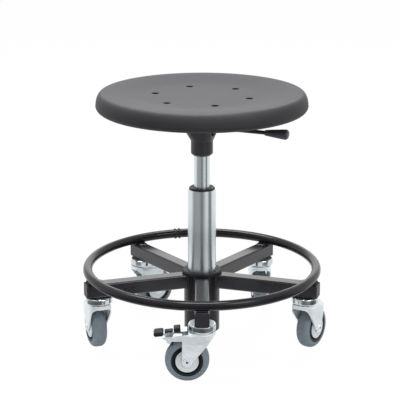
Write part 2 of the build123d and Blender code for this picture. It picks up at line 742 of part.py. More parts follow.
def fork(braked):
    length = CASTER_TRAIL + CROWN_R + LEG_END_R + HORN_REACH
    sides = slab(leg_profile(), crown_out)
    if braked:
        above = Box(length, 2 * crown_out, length, align=(Align.MIN, Align.CENTER, Align.MIN))
        sides -= Pos(CROWN_R, 0, horn_top(CROWN_R)) * above
        sides += horn_profile()
    corner = min(CROWN_CORNER, crown_out / 2 - FORK_PLATE)
    body = channel(crown_out, crown_top, FORK_BEND, length) & sides
    body = body & crown_plan(crown_out, -CROWN_R, corner, length)
    hollow = channel(crown_in, crown_low, FORK_BEND - FORK_PLATE, length)
    body -= hollow & crown_plan(crown_in, FORK_PLATE - CROWN_R, corner - FORK_PLATE, length)
    body -= channel(crown_in, crown_low - LIP_DROP, LIP_BEND, length)
    body += ring(TRACK_R + TRACK_HALF_W, TRACK_R - TRACK_HALF_W, crown_low, track_low)
    body -= drum(KING_PIN_D / 2 + MOVE_GAP, crown_low, track_low)
    body -= Pos(0, 0, ball_z) * Torus(TRACK_R, BALL_D / 2 + BALL_CLEAR)
    body -= wheel_place() * across(AXLE_NECK_D / 2 + PUSH_CLEAR, crown_out)
    if braked:
        body -= Pos(pedal_pin_x, 0, pedal_pin_z) * across(PEDAL_PIN_D / 2 + PUSH_CLEAR, crown_out)
    return body


def swivel_head():
    """The pressed cap above the fork: top plate, upper ball track and a skirt round the balls."""
    outer = HEAD_D / 2
    track_in = TRACK_R - TRACK_HALF_W
    skirt_in = outer - HEAD_SKIRT
    skirt_low = crown_top + HEAD_SKIRT_GAP
    cap = turned([
        (BOLT_D / 2 + PUSH_CLEAR, head_plate_low), (track_in, head_plate_low), (track_in, track_high),
        (skirt_in, track_high), (skirt_in, skirt_low), (outer, skirt_low), (outer, arm_low),
        (BOLT_D / 2 + PUSH_CLEAR, arm_low)])
    cap = fillet(cap.edges().filter_by(GeomType.CIRCLE).sort_by(SortBy.RADIUS)[-2:], HEAD_EDGE)
    return cap - Pos(0, 0, ball_z) * Torus(TRACK_R, BALL_D / 2 + BALL_CLEAR)


def swivel_balls():
    ball = Pos(0, 0, ball_z) * Sphere(BALL_D / 2)
    return circle_of(ball, TRACK_R, BALL_COUNT)


def king_pin_low():
    return crown_low - MOVE_GAP - KING_FLANGE_T


def king_pin():
    bore = BOLT_D / 2 + PUSH_CLEAR
    flange_top = crown_low - MOVE_GAP
    return turned([
        (bore, king_pin_low()), (KING_FLANGE_D / 2, king_pin_low()), (KING_FLANGE_D / 2, flange_top),
        (KING_PIN_D / 2, flange_top), (KING_PIN_D / 2, head_plate_low), (bore, head_plate_low)])


def caster_bolt():
    head = drum(BOLT_HEAD_D / 2, arm_top, arm_top + BOLT_HEAD_H)
    head = fillet(head.edges().sort_by(Axis.Z)[-1], BOLT_HEAD_EDGE)
    hexagon = RegularPolygon(BOLT_SOCKET_AF / 2, 6, major_radius=False)
    socket_plane = Plane.XY.offset(arm_top + BOLT_HEAD_H - BOLT_SOCKET_DEPTH)
    socket = extrude(socket_plane * hexagon, BOLT_SOCKET_DEPTH)
    return head - socket + drum(BOLT_D / 2, king_pin_low(), arm_top)


# Brake pedal, on the front caster

def pedal_half_w():
    return PEDAL_W / 2


def pedal_low(x):
    return horn_top(x) + PEDAL_GAP


def shoe_place():
    """The shoe points from the pin to the wheel's centre once the pedal has swung to its lock."""
    dx = CASTER_TRAIL - pedal_pin_x
    dz = wheel_r - pedal_pin_z
    reach = hypot(dx, dz) - wheel_r - SHOE_GAP
    angle = degrees(atan2(dz, dx)) + PEDAL_SWING_DEG
    return reach, Pos(pedal_pin_x, 0, pedal_pin_z) * Rot(0, -angle, 0)


def brake_pedal():
    half_w = pedal_half_w()
    tip = tread_pad_mid
    plate = slab(outline([
        (pedal_start, pedal_low(pedal_start)), (tip, pedal_low(tip)),
        (tip, pedal_low(tip) + PEDAL_T), (pedal_start, pedal_low(pedal_start) + PEDAL_T)]), half_w)
    root_in = pedal_pin_x - PEDAL_EAR_ROOT_W / 2
    root_out = pedal_pin_x + PEDAL_EAR_ROOT_W / 2
    ear = slab(outline([
        (root_in, pedal_low(root_in)), (pedal_pin_x - PEDAL_EAR_R, pedal_pin_z),
        (pedal_pin_x + PEDAL_EAR_R, pedal_pin_z), (root_out, pedal_low(root_out))]), PEDAL_EAR_T / 2)
    ear_y = half_w - PEDAL_EAR_T / 2
    pin_line = Pos(pedal_pin_x, 0, pedal_pin_z)
    barrel = pin_line * across(PEDAL_EAR_R, half_w)
    reach, place = shoe_place()
    shoe = place * Pos(reach / 2, 0, 0) * Box(reach, TYRE_W, SHOE_W)
    pedal = plate + [Pos(0, side * ear_y, 0) * ear for side in (-1, 1)] + barrel + shoe
    return pedal - pin_line * across(PEDAL_PIN_D / 2 + RUN_CLEAR, crown_out)


def pedal_line(x):
    """A place on top of the pedal plate at a distance from the stem, tilted with the plate."""
    tilt = degrees(atan2(pedal_low(HORN_REACH) - pedal_low(pedal_start), HORN_REACH - pedal_start))
    return Pos(x, 0, pedal_low(x) + PEDAL_T) * Rot(0, -tilt, 0)


def tread_pad(pedal):
    block = Box(TREAD_PAD_LENGTH, TREAD_PAD_W, TREAD_PAD_H)
    block = fillet(block.edges().filter_by(Axis.Y), TREAD_PAD_EDGE)
    block = fillet(block.faces().filter_by(Axis.Y).edges(), TREAD_PAD_SIDE_EDGE)
    return pedal_line(tread_pad_mid) * Pos(0, 0, -PEDAL_T / 2) * block - pedal


def release_pad(pedal):
    block = Box(RELEASE_PAD_LENGTH, RELEASE_PAD_W, RELEASE_PAD_H, align=STAND)
    block = fillet(block.faces().sort_by(Axis.Z)[-1].edges(), RELEASE_PAD_EDGE)
    pitch = RELEASE_PAD_LENGTH / (PAD_RIB_COUNT + 1)
    groove = Box(PAD_RIB_W, RELEASE_PAD_W, PAD_RIB_DEPTH, align=STAND)
    first = -pitch * (PAD_RIB_COUNT - 1) / 2
    groove_z = RELEASE_PAD_H - PAD_RIB_DEPTH
    grooves = [Pos(first + k * pitch, 0, groove_z) * groove for k in range(PAD_RIB_COUNT)]
    return pedal_line(release_pad_mid) * (block - grooves) - pedal


def step_pad(pedal):
    """The low strip on the pedal between the two pads."""
    low = HORN_REACH - RELEASE_PAD_INSET + RELEASE_PAD_LENGTH + STEP_PAD_GAP
    high = HORN_REACH - TREAD_PAD_INSET - STEP_PAD_GAP
    block = Box(high - low, STEP_PAD_W, STEP_PAD_H, align=STAND)
    block = fillet(block.faces().sort_by(Axis.Z)[-1].edges(), STEP_PAD_EDGE)
    return pedal_line((low + high) / 2) * block - pedal


def brake_pin():
    head_y = crown_out / 2 + PEDAL_PIN_HEAD_T
    pin = across(PEDAL_PIN_D / 2, crown_out / 2)
    head = across(PEDAL_PIN_HEAD_D / 2, PEDAL_PIN_HEAD_T / 2)
    heads = [Pos(0, side * (head_y - PEDAL_PIN_HEAD_T / 2), 0) * head for side in (-1, 1)]
    return Pos(pedal_pin_x, 0, pedal_pin_z) * (pin + heads)


# Assembly

def base_nodes():
    return {
        "hub_tube": ring(hub_r, hub_in_r, hub_low, arm_top),
        "hub_floor": ring(hub_in_r - PUSH_CLEAR, HUB_FLOOR_HOLE_D / 2, hub_low, column_low),
        "hub_collar": hub_collar(),
        "base_arms": group(on_arms(base_arm())),
        "arm_end_caps": group(on_arms(arm_cap())),
        "foot_ring": foot_ring(),
        "ring_saddles": group(on_arms(ring_saddle())),
        "caster_bolts": group(on_stems(caster_bolt())),
        "swivel_heads": group(on_stems(swivel_head())),
        "king_pins": group(on_stems(king_pin())),
        "swivel_balls": group(ball for n in range(ARM_COUNT) for ball in
                              [arm_place(n, stem_r) * b for b in swivel_balls()]),
    }


def column_nodes():
    return {
        "column_tube": ring(column_r, column_in_r, column_low, column_top),
        "column_foot": ring(column_in_r - PUSH_CLEAR, ROD_D / 2 + RUN_CLEAR, column_low, bearing_low),
        "guide_bush": guide_bush(),
        "thrust_bearing": thrust_bearing(),
        "piston_rod": piston_rod(),
        "rod_clip": rod_clip(),
        "rod_buffer": ring(BUFFER_D / 2, ROD_D / 2 + PUSH_CLEAR, buffer_low, buffer_low + BUFFER_H),
        "piston": ring(cyl_in_r - RUN_CLEAR, ROD_NECK_D / 2 + PUSH_CLEAR, piston_low, piston_top),
    }


def seat_nodes():
    nodes = {
        "gas_cylinder": gas_cylinder(),
        "cylinder_gland": ring(cyl_in_r - PUSH_CLEAR, ROD_D / 2 + RUN_CLEAR, gland_low, gland_top),
        "release_button": release_button(),
        "cylinder_sleeve": cylinder_sleeve(),
        "seat_housing": seat_housing(),
        "lever_pin": lever_pin(),
        "lever_rod": lever_rod(),
        "lever_knob": lever_knob(),
        "seat_plate": seat_plate(),
        "seat_screws": group([place * seat_screw() for place in screw_places()]),
        "tee_nuts": group([place * tee_nut() for place in screw_places()]),
        "seat_board": seat_board(),
        "seat_pad": seat_pad(),
    }
    return {name: Rot(0, 0, SEAT_YAW) * shape for name, shape in nodes.items()}


def caster_nodes(name, number, trail_angle):
    place = caster_place(number, trail_angle)
    nodes = {
        f"fork_{name}": fork(braked=name == "front"),
        f"axle_{name}": wheel_axle(),
        f"wheel_bearing_{name}": wheel_bearing(),
        f"wheel_core_{name}": wheel_core(),
        f"tyre_{name}": tyre(),
    }
    if name == "front":
        pedal = brake_pedal()
        nodes["brake_pedal"] = pedal
        nodes["brake_pads"] = group([tread_pad(pedal), release_pad(pedal), step_pad(pedal)])
        nodes["brake_pin"] = brake_pin()
    return {node: place * shape for node, shape in nodes.items()}


def main():
    nodes = {**base_nodes(), **column_nodes(), **seat_nodes()}
    for number, (name, trail_angle) in enumerate(zip(CASTER_NAMES, TRAIL_ANGLES)):
        nodes.update(caster_nodes(name, number, trail_angle))
    os.makedirs("parts", exist_ok=True)
    for name, shape in nodes.items():
        export_step(shape, f"parts/{name}.step")


main()
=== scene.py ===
"""Rolling stool: the seat cushion, tyres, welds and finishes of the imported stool, and its studio."""
import json
from math import pi, radians

import bmesh
import bpy
import numpy as np
from bpy.props import FloatProperty, FloatVectorProperty, PointerProperty
from bpy.types import Operator, Panel, PropertyGroup
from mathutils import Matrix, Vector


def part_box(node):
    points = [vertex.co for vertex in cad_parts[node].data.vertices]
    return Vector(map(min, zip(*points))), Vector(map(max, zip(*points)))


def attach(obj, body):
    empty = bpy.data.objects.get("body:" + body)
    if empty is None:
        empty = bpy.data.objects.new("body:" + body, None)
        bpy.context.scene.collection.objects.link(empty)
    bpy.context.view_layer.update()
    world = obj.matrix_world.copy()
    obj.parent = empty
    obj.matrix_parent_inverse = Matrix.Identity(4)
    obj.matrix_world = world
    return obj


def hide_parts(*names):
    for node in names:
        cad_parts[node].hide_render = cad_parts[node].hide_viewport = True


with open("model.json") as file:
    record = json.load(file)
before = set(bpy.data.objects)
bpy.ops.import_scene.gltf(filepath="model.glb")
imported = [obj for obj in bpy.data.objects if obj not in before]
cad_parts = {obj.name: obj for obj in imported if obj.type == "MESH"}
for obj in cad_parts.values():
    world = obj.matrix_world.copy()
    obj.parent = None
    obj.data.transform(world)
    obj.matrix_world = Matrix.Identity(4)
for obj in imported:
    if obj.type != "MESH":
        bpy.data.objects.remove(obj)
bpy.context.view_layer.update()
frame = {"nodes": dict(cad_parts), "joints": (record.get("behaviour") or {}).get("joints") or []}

bl_info = {
    "name": "Rolling Stool",
    "version": (1, 0, 0),
    "blender": (4, 5, 0),
    "location": "View3D > Sidebar > Stool",
    "description": "Seat cushion, tyres, welds and finishes of a rolling stool, and its studio",
    "category": "Object",
}

PAD_LOW, PAD_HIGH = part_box("seat_pad")
BOARD_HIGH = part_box("seat_board")[1]
RING_LOW, RING_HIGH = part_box("foot_ring")
RING_TUBE = (RING_HIGH.z - RING_LOW.z) / 2
RING_RADIUS = (RING_HIGH.x - RING_LOW.x) / 2 - RING_TUBE
ARMS_LOW, ARMS_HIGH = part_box("base_arms")
HUB_LOW, HUB_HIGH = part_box("hub_tube")
CASTER_NAMES = ("front", "right", "back_right", "back_left", "left")
ARM_ANGLES = np.radians(270.0 + 72.0 * np.arange(5))

# Fine forms in metres
MERGE = 2e-6                # points closer than this are one point
VENT_COUNT = 6
VENT_TURN = radians(-15.0)  # the first vent's angle about the column
VENT_LIP = 0.0005           # rounding of a vent's mouth
VENT_DIP = 0.0004           # how far the skin sinks at a vent
VENT_DIP_WIDTH = 0.0045     # over which it sinks, to each side of the rim
VENT_SHADE_WIDTH = 0.0006   # over which the painted shade inside a vent fades out at its edge
VENT_RING = (0.066, 0.102)  # inner and outer radius of the cells that hold the vents
SEAT_LINE = 0.00025         # height and width of the seat's mould line
SEAT_LINE_WIDTH = 0.0006
BOARD_CLEAR = 0.0002        # from the board's edge to the foam
TYRE_RIDGE = 0.00018        # height and width of a tyre's mould line
TYRE_RIDGE_WIDTH = 0.0004
TYRE_LEDGE = 0.0006         # how far a tyre's side stands in from its shoulder
TYRE_LEDGE_LOW = 0.0012     # from the shoulder down to where that step begins
TYRE_LEDGE_TOP = 0.0002     # and to the last points before the shoulder
TYRE_LEDGE_RUN = 0.0009     # over which the step rises
TYRE_SIDE_END = 0.0016      # from the shoulder down to where the plain side ends
BEAD_SIDES = 10             # points round a weld bead
BEAD_RIPPLE = 0.10          # a ripple's height as a share of the bead's radius
ARM_CORNER = 0.003          # corner rounding of an arm's tube
RING_WELD_OFFSET = 0.0052   # from the ring's centreline to each bead beside it
RING_WELD_HALF = 0.0105     # half a bead's length
RING_WELD_RISE = 0.0013     # from the arms' top up to the beads' middle
RING_JOINT_SINK = 0.0009    # how deep the joint's beads lie in the tube
RING_JOINT_X = (-0.0435, -0.0510)  # where the joint's beads lie at the ring's back

# Studio values
WHITE = (1.0, 1.0, 1.0, 1.0)
FLOOR_SIDES = 64
FLOOR_SHADE = 0.02          # share of the floor's own light and shadow that the camera sees
SCREEN_SIDE = 95.0          # how far the screen reaches round to each side, in degrees
SCREEN_TONES = (            # angle from the camera's direction in degrees, and tone
    (-SCREEN_SIDE, 1.00), (-84.0, 0.90), (-70.0, 0.44), (-20.0, 0.42), (-3.0, 0.24), (10.0, 0.32),
    (32.0, 0.85), (46.0, 0.95), (58.0, 0.30), (76.0, 0.26), (84.0, 0.80), (SCREEN_SIDE, 1.00))
SCREEN_PROFILE = (          # reach from the column, height over the floor, and share of the tone
    (0.29, 0.001, 0.60), (0.32, 0.001, 0.25), (0.46, 0.001, 0.25), (0.56, 0.001, 1.0),
    (1.0, 0.001, 1.0), (1.4, 0.001, 1.0), (1.6, 0.06, 1.0), (1.7, 0.2, 1.0))
LAMPS = (                   # name, place, point looked at, size, and power in watts
    ("key", (1.5, -1.7, 2.1), (0.0, 0.0, 0.25), (1.1, 1.1), 22.0),
    ("over", (0.0, -0.20, 1.20), (0.0, -0.12, 0.45), (0.5, 0.25), 9.0),
    ("top", (-0.3, 0.8, 2.3), (0.0, 0.0, 0.30), (2.0, 1.0), 60.0),
    ("back", (0.0, 3.0, 1.1), (0.0, 0.0, 0.10), (3.0, 1.0), 8.0))


# Properties

class SeatSettings(PropertyGroup):
    radius: FloatProperty(
        name="Radius", description="Seat's outer radius",
        subtype="DISTANCE", unit="LENGTH", default=(PAD_HIGH.x - PAD_LOW.x) / 2)
    flat_radius: FloatProperty(
        name="Flat radius", description="Radius of the seat's flat floor",
        subtype="DISTANCE", unit="LENGTH", default=0.095)
    dish_depth: FloatProperty(
        name="Dish depth", description="Crest's height over the flat floor",
        subtype="DISTANCE", unit="LENGTH", default=0.0068)
    crest_inset: FloatProperty(
        name="Crest inset", description="From the outer edge in to the crest",
        subtype="DISTANCE", unit="LENGTH", default=0.011)
    waist_height: FloatProperty(
        name="Waist height", description="Widest line over the underside",
        subtype="DISTANCE", unit="LENGTH", default=0.011)
    under_inset: FloatProperty(
        name="Underside inset", description="From the outer edge in to the flat underside",
        subtype="DISTANCE", unit="LENGTH", default=0.016)
    vent_radius: FloatProperty(
        name="Vent radius", description="Radius of each vent hole",
        subtype="DISTANCE", unit="LENGTH", default=0.0062)
    vent_circle: FloatProperty(
        name="Vent circle", description="Radius of the circle of vents",
        subtype="DISTANCE", unit="LENGTH", default=0.084)
    vent_floor: FloatProperty(
        name="Vent floor", description="Foam left under each vent",
        subtype="DISTANCE", unit="LENGTH", default=0.002)
    colour: FloatVectorProperty(
        name="Colour", description="Moulded foam skin",
        subtype="COLOR", size=3, min=0, max=1, default=(0.016, 0.016, 0.0195))
    grain: FloatProperty(
        name="Grain", description="Size of the skin's grain",
        subtype="DISTANCE", unit="LENGTH", default=0.0011)


class FrameSettings(PropertyGroup):
    colour: FloatVectorProperty(
        name="Powder coat", description="Colour of arms, ring, hub and housing",
        subtype="COLOR", size=3, min=0, max=1, default=(0.0120, 0.0118, 0.0150))
    plastic: FloatVectorProperty(
        name="Plastic", description="Colour of caps, collar, sleeve and knob",
        subtype="COLOR", size=3, min=0, max=1, default=(0.019, 0.019, 0.0245))
    chrome: FloatVectorProperty(
        name="Chrome", description="Colour of column and cylinder",
        subtype="COLOR", size=3, min=0, max=1, default=(0.68, 0.73, 0.75))
    weld_radius: FloatProperty(
        name="Weld radius", description="Half width of a weld bead",
        subtype="DISTANCE", unit="LENGTH", default=0.0024)
    weld_ripple: FloatProperty(
        name="Weld ripple", description="Distance between a bead's ripples",
        subtype="DISTANCE", unit="LENGTH", default=0.0018)


class CasterSettings(PropertyGroup):
    tyre: FloatVectorProperty(
        name="Tyre", description="Colour of the tyres",
        subtype="COLOR", size=3, min=0, max=1, default=(0.147, 0.184, 0.212))
    core: FloatVectorProperty(
        name="Wheel core", description="Colour of the wheel cores",
        subtype="COLOR", size=3, min=0, max=1, default=(0.008, 0.009, 0.012))
    zinc: FloatVectorProperty(
        name="Zinc", description="Colour of forks, heads and axles",
        subtype="COLOR", size=3, min=0, max=1, default=(0.62, 0.66, 0.68))
    tyre_shoulder: FloatProperty(
        name="Tyre shoulder", description="Rounding of a tyre's shoulders",
        subtype="DISTANCE", unit="LENGTH", default=0.009)
    tyre_depth: FloatProperty(
        name="Tyre depth", description="Tyre's thickness from tread to core",
        subtype="DISTANCE", unit="LENGTH", default=0.0105)
    tyre_width: FloatProperty(
        name="Tyre width", description="Tyre's width",
        subtype="DISTANCE", unit="LENGTH", default=0.025)


class StudioSettings(PropertyGroup):
    camera_distance: FloatProperty(
        name="Camera distance", description="Camera in front of the column",
        subtype="DISTANCE", unit="LENGTH", default=2.400)
    camera_height: FloatProperty(
        name="Camera height", description="Camera over the floor",
        subtype="DISTANCE", unit="LENGTH", default=0.951)
    camera_shift: FloatProperty(
        name="Camera aside", description="Camera beside the column",
        subtype="DISTANCE", unit="LENGTH", default=-0.0034)
    camera_tilt: FloatProperty(
        name="Camera tilt", description="Camera's turn up from straight down",
        subtype="ANGLE", unit="ROTATION", default=radians(73.94))
    lens: FloatProperty(name="Lens", description="Focal length in millimetres", default=127.44)
    sky: FloatProperty(name="Sky", description="Strength of the even light from all round", default=0.50)
    screen_height: FloatProperty(
        name="Screen height", description="Height of the grey screen before the stool",
        subtype="DISTANCE", unit="LENGTH", default=0.9)
    floor_radius: FloatProperty(
        name="Floor radius", description="Radius of the round floor",
        subtype="DISTANCE", unit="LENGTH", default=12.0)


class StoolSettings(PropertyGroup):
    seat: PointerProperty(type=SeatSettings)
    base: PointerProperty(type=FrameSettings)
    casters: PointerProperty(type=CasterSettings)
    studio: PointerProperty(type=StudioSettings)


# Shader expressions

class Value:
    """A socket of a finish. Arithmetic on it adds Math nodes."""

    def __init__(self, finish, socket):
        self.finish = finish
        self.socket = socket

    def maths(self, operation, first, second):
        return self.finish.add("ShaderNodeMath", {"operation": operation}, {0: first, 1: second})

    def __add__(self, other):
        return self.maths("ADD", self, other)

    def __radd__(self, other):
        return self.maths("ADD", other, self)

    def __mul__(self, other):
        return self.maths("MULTIPLY", self, other)

    def __rmul__(self, other):
        return self.maths("MULTIPLY", other, self)


class Finish:
    """A material that is built up from nodes."""

    def __init__(self, name):
        self.material = bpy.data.materials.new(name)
        self.material.use_nodes = True
        self.tree = self.material.node_tree
        self.tree.nodes.clear()

    def add(self, kind, settings=None, inputs=None, output=0):
        """A node of that type: settings first, then values or links for its sockets."""
        node = self.tree.nodes.new(kind)
        for key, value in (settings or {}).items():
            setattr(node, key, value)
        for key, value in (inputs or {}).items():
            if isinstance(value, Value):
                self.tree.links.new(value.socket, node.inputs[key])
            else:
                node.inputs[key].default_value = value
        return Value(self, node.outputs[output]) if len(node.outputs) else None

    def place(self):
        return self.add("ShaderNodeTexCoord", output="Object")

    def stretched(self, scale):
        return self.add("ShaderNodeMapping", inputs={"Vector": self.place(), "Scale": scale})

    def noise(self, vector, scale, detail):
        return self.add("ShaderNodeTexNoise", inputs={
            "Vector": vector, "Scale": scale, "Detail": detail, "Roughness": 0.55})

    def cells(self, vector, scale):
        return self.add("ShaderNodeTexVoronoi", {"feature": "SMOOTH_F1"}, {
            "Vector": vector, "Scale": scale})

    def between(self, value, low, high):
        """0 below low, 1 above high and a smooth rise between."""
        return self.add("ShaderNodeMapRange", {"interpolation_type": "SMOOTHSTEP", "clamp": True}, {
            "Value": value, "From Min": low, "From Max": high, "To Min": 0.0, "To Max": 1.0})

    def blend(self, share, first, second):
        """One colour turning into another."""
        return self.add("ShaderNodeMix", {"data_type": "RGBA"}, {0: share, 6: first, 7: second}, output=2)

    def bump(self, height, strength, distance):
        return self.add("ShaderNodeBump", inputs={
            "Height": height, "Strength": strength, "Distance": distance})

    def surface(self, **sockets):
        """The Principled shader with these sockets, on the material's output."""
        names = {key.replace("_", " "): value for key, value in sockets.items()}
        shader = self.add("ShaderNodeBsdfPrincipled", inputs=names)
        self.add("ShaderNodeOutputMaterial", inputs={"Surface": shader})
        return self.material


def tone(colour, factor):
    """A colour made lighter or darker by a factor."""
    return tuple(min(1.0, channel * factor) for channel in colour)


def solid(colour, factor):
    """That tone with alpha, as a socket takes it."""
    return (*tone(colour, factor), 1.0)


# Finishes

def foam_skin(seat):
    """Moulded foam skin: fine pebble grain and soft mottling, with painted shade inside the vents, where
    the skin is turned black and dull.
    """
    skin = Finish("foam_skin")
    place = skin.place()
    # vent attribute: 1 down inside a vent hole, where the colour is painted near black as shade
    vent = skin.add("ShaderNodeAttribute", {"attribute_name": "vent"}, output="Fac")
    mottle = skin.noise(place, 26.0, 4.0)
    patch = skin.noise(place, 300.0, 3.0)
    speck = skin.noise(place, 900.0, 2.0)
    cloud = mottle * 0.5 + patch * 0.3 + speck * 0.2
    colour = skin.blend(cloud, solid(seat.colour, 0.7), solid(seat.colour, 1.5))
    # near black, painted as the shade inside the vents
    vent_painted_shade = (0.001, 0.001, 0.001, 1.0)
    pebble = skin.cells(place, 1.0 / seat.grain)
    fine = skin.noise(place, 1600.0, 2.0)
    height = pebble * 0.5 + patch * 0.3 + fine * 0.2
    return skin.surface(
        Base_Color=skin.blend(vent, colour, vent_painted_shade),
        Roughness=0.47 + mottle * 0.08 + patch * 0.10 + pebble * 0.10 + vent * 0.35,
        Normal=skin.bump(height, 0.50, 0.0005),
        Specular_IOR_Level=0.34)


def powder_coat(name, colour, rough, specular):
    """Baked powder coat: faint orange peel under a cloudy shine."""
    coat = Finish(name)
    place = coat.place()
    peel = coat.noise(place, 420.0, 2.0)
    cloud = coat.noise(place, 18.0, 3.0)
    return coat.surface(
        Base_Color=coat.blend(cloud, solid(colour, 0.8), solid(colour, 1.35)),
        Roughness=rough + cloud * 0.10,
        Normal=coat.bump(peel, 0.06, 0.0006),
        Specular_IOR_Level=specular)


def chrome_plate(colour):
    """Polished chrome with faint lengthwise draw marks."""
    plate = Finish("chrome_plate")
    drawn = plate.noise(plate.stretched((900.0, 900.0, 9.0)), 1.0, 3.0)
    haze = plate.noise(plate.place(), 30.0, 3.0)
    return plate.surface(
        Base_Color=plate.blend(drawn * 0.6 + haze * 0.4, solid(colour, 0.94), solid(colour, 1.06)),
        Metallic=1.0,
        Roughness=0.22 + haze * 0.06,
        Anisotropic=0.9,
        Anisotropic_Rotation=0.25,
        Normal=plate.bump(drawn, 0.02, 0.0003))


def zinc_plate(name, colour, rough, metal):
    """Zinc on pressed steel: soft spangle and faint scratches."""
    plate = Finish(name)
    spangle = plate.noise(plate.place(), 160.0, 3.0)
    scratch = plate.noise(plate.stretched((2200.0, 160.0, 700.0)), 1.0, 2.0)
    return plate.surface(
        Base_Color=plate.blend(spangle, solid(colour, 0.92), solid(colour, 1.08)),
        Metallic=metal,
        Roughness=rough + spangle * 0.08 + scratch * 0.05,
        Normal=plate.bump(scratch, 0.05, 0.0003))


def bare_steel():
    """Turned steel, finely marked."""
    steel = Finish("bare_steel")
    marks = steel.noise(steel.stretched((300.0, 300.0, 2600.0)), 1.0, 2.0)
    return steel.surface(
        Base_Color=steel.blend(marks, (0.46, 0.47, 0.48, 1.0), (0.60, 0.61, 0.62, 1.0)),
        Metallic=1.0,
        Roughness=0.28 + marks * 0.12,
        Normal=steel.bump(marks, 0.06, 0.0003))


def moulded_plastic(name, colour, rough, specular):
    """Spark-eroded plastic: a fine even texture with small shine differences."""
    shell = Finish(name)
    place = shell.place()
    texture = shell.noise(place, 1500.0, 2.0)
    cloud = shell.noise(place, 40.0, 3.0)
    return shell.surface(
        Base_Color=shell.blend(cloud, solid(colour, 0.8), solid(colour, 1.4)),
        Roughness=rough + cloud * 0.10 + texture * 0.06,
        Normal=shell.bump(texture, 0.14, 0.0004),
        Specular_IOR_Level=specular)


def tyre_rubber(colour):
    """Grey rubber: matt, a little scuffed and dusty where the tread meets the floor."""
    rubber = Finish("tyre_rubber")
    place = rubber.place()
    tread = rubber.add("ShaderNodeAttribute", {"attribute_name": "tread"}, output="Fac")
    scuff = rubber.noise(place, 220.0, 4.0)
    fine = rubber.noise(place, 1400.0, 2.0)
    worn = rubber.between(tread, 0.4, 1.0) * rubber.between(scuff, 0.40, 0.70)
    clean = rubber.blend(scuff, solid(colour, 0.88), solid(colour, 1.14))
    return rubber.surface(
        Base_Color=rubber.blend(worn * 0.5, clean, solid(colour, 1.30)),
        Roughness=0.52 + worn * 0.2 + fine * 0.06,
        Normal=rubber.bump(fine * 0.5 + scuff * 0.5, 0.12, 0.0005))


def soft_rubber():
    """Black rubber of the gas spring's end stop."""
    rubber = Finish("soft_rubber")
    fine = rubber.noise(rubber.place(), 900.0, 2.0)
    return rubber.surface(
        Base_Color=rubber.blend(fine, (0.018, 0.018, 0.018, 1.0), (0.035, 0.035, 0.035, 1.0)),
        Roughness=0.62 + fine * 0.12,
        Normal=rubber.bump(fine, 0.12, 0.0004))


def stained_ply():
    """Black-stained plywood: face grain in long streaks, with darker glue lines round the edge."""
    ply = Finish("stained_ply")
    streak = ply.noise(ply.stretched((14.0, 160.0, 60.0)), 1.0, 5.0)
    height = ply.add("ShaderNodeSeparateXYZ", inputs={"Vector": ply.place()}, output="Z")
    layer = height.maths("PINGPONG", height, 0.0007)
    glue = ply.between(layer, 0.00052, 0.00068)
    face = ply.blend(streak, (0.030, 0.026, 0.023, 1.0), (0.060, 0.050, 0.043, 1.0))
    return ply.surface(
        Base_Color=ply.blend(glue * 0.55, face, (0.016, 0.014, 0.012, 1.0)),
        Roughness=0.55 + streak * 0.15,
        Normal=ply.bump(streak, 0.12, 0.0005))


# Surfaces

def grid_faces(rows, columns, closed=False, start=0):
    """Quads of a rows x columns grid of points; closed joins the last column to the first."""
    across = np.arange(columns if closed else columns - 1)
    down = np.arange(rows - 1)[:, None]
    near = down * columns + across
    beside = down * columns + (across + 1) % columns
    quads = np.stack([near, beside, beside + columns, near + columns], axis=-1)
    return quads.reshape(-1, 4) + start


def build(name, patches, body, material, sharp=50.0):
    """A closed mesh from (points, closed, turned over) patches whose meeting edges are merged."""
    points = []
    faces = []
    count = 0
    for patch, closed, turned in patches:
        rows, columns = patch.shape[:2]
        quads = grid_faces(rows, columns, closed, count)
        faces.append(quads[:, ::-1] if turned else quads)
        points.append(patch.reshape(-1, 3))
        count += rows * columns
    mesh = bpy.data.meshes.new(name)
    mesh.from_pydata(np.concatenate(points).tolist(), [], np.concatenate(faces).tolist())
    form = bmesh.new()
    form.from_mesh(mesh)
    bmesh.ops.remove_doubles(form, verts=form.verts, dist=MERGE)
    bmesh.ops.recalc_face_normals(form, faces=form.faces)
    for edge in form.edges:
        edge.smooth = len(edge.link_faces) == 2 and edge.calc_face_angle(0.0) < radians(sharp)
    for face in form.faces:
        face.smooth = True
    form.to_mesh(mesh)
    form.free()
    mesh.materials.append(material)
    piece = bpy.data.objects.new(name, mesh)
    bpy.context.scene.collection.objects.link(piece)
    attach(piece, body)
    return piece


def points_of(piece):
    """A piece's points as rows of x, y, z."""
    place = np.empty(len(piece.data.vertices) * 3, np.float32)
    piece.data.vertices.foreach_get("co", place)
    return place.reshape(-1, 3)


def write(piece, name, values):
    """One number on each of a piece's points, for its finish to read."""
    attribute = piece.data.attributes.new(name, "FLOAT", "POINT")
    attribute.data.foreach_set("value", values.astype(np.float32))


def smooth_step(share):
    """0 to 1 with level ends: 3t^2 - 2t^3 of the clipped share."""
    t = np.clip(share, 0.0, 1.0)
    return t * t * (3.0 - 2.0 * t)


def polar(radius, angle, height):
    """Points of a surface of revolution about Z: every profile point at every angle."""
    r = np.asarray(radius)[:, None]
    h = np.broadcast_to(np.asarray(height)[:, None], (r.shape[0], angle.size))
    return np.stack([r * np.cos(angle), r * np.sin(angle), h], axis=-1)


